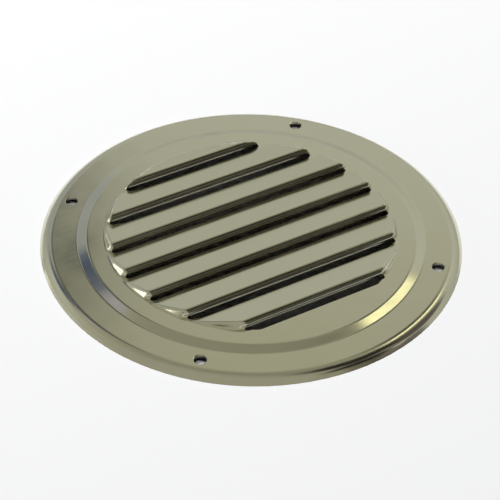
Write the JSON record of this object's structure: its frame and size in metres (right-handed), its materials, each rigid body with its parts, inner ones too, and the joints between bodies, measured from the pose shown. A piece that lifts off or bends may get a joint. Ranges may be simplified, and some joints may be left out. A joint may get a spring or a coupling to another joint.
{
  "type": "round louvred vent cover",
  "caption": "Round pressed steel vent cover: a shallow stepped disc with a row of sloping louvres across it, slots under their lips and screw holes round the flange.",
  "frame": {"origin": "centre of the plane of the rim's back edge, which lies on the wall", "axes": "+Z out of the face, X along the slats, -Y the way the slots open (down on a wall)"},
  "size_m": [0.127, 0.127, 0.0049],
  "materials": {
    "stainless_steel": "polished"
  },
  "bodies": {
    "root": {"vent_cover": "stainless_steel"}
  },
  "joints": []
}
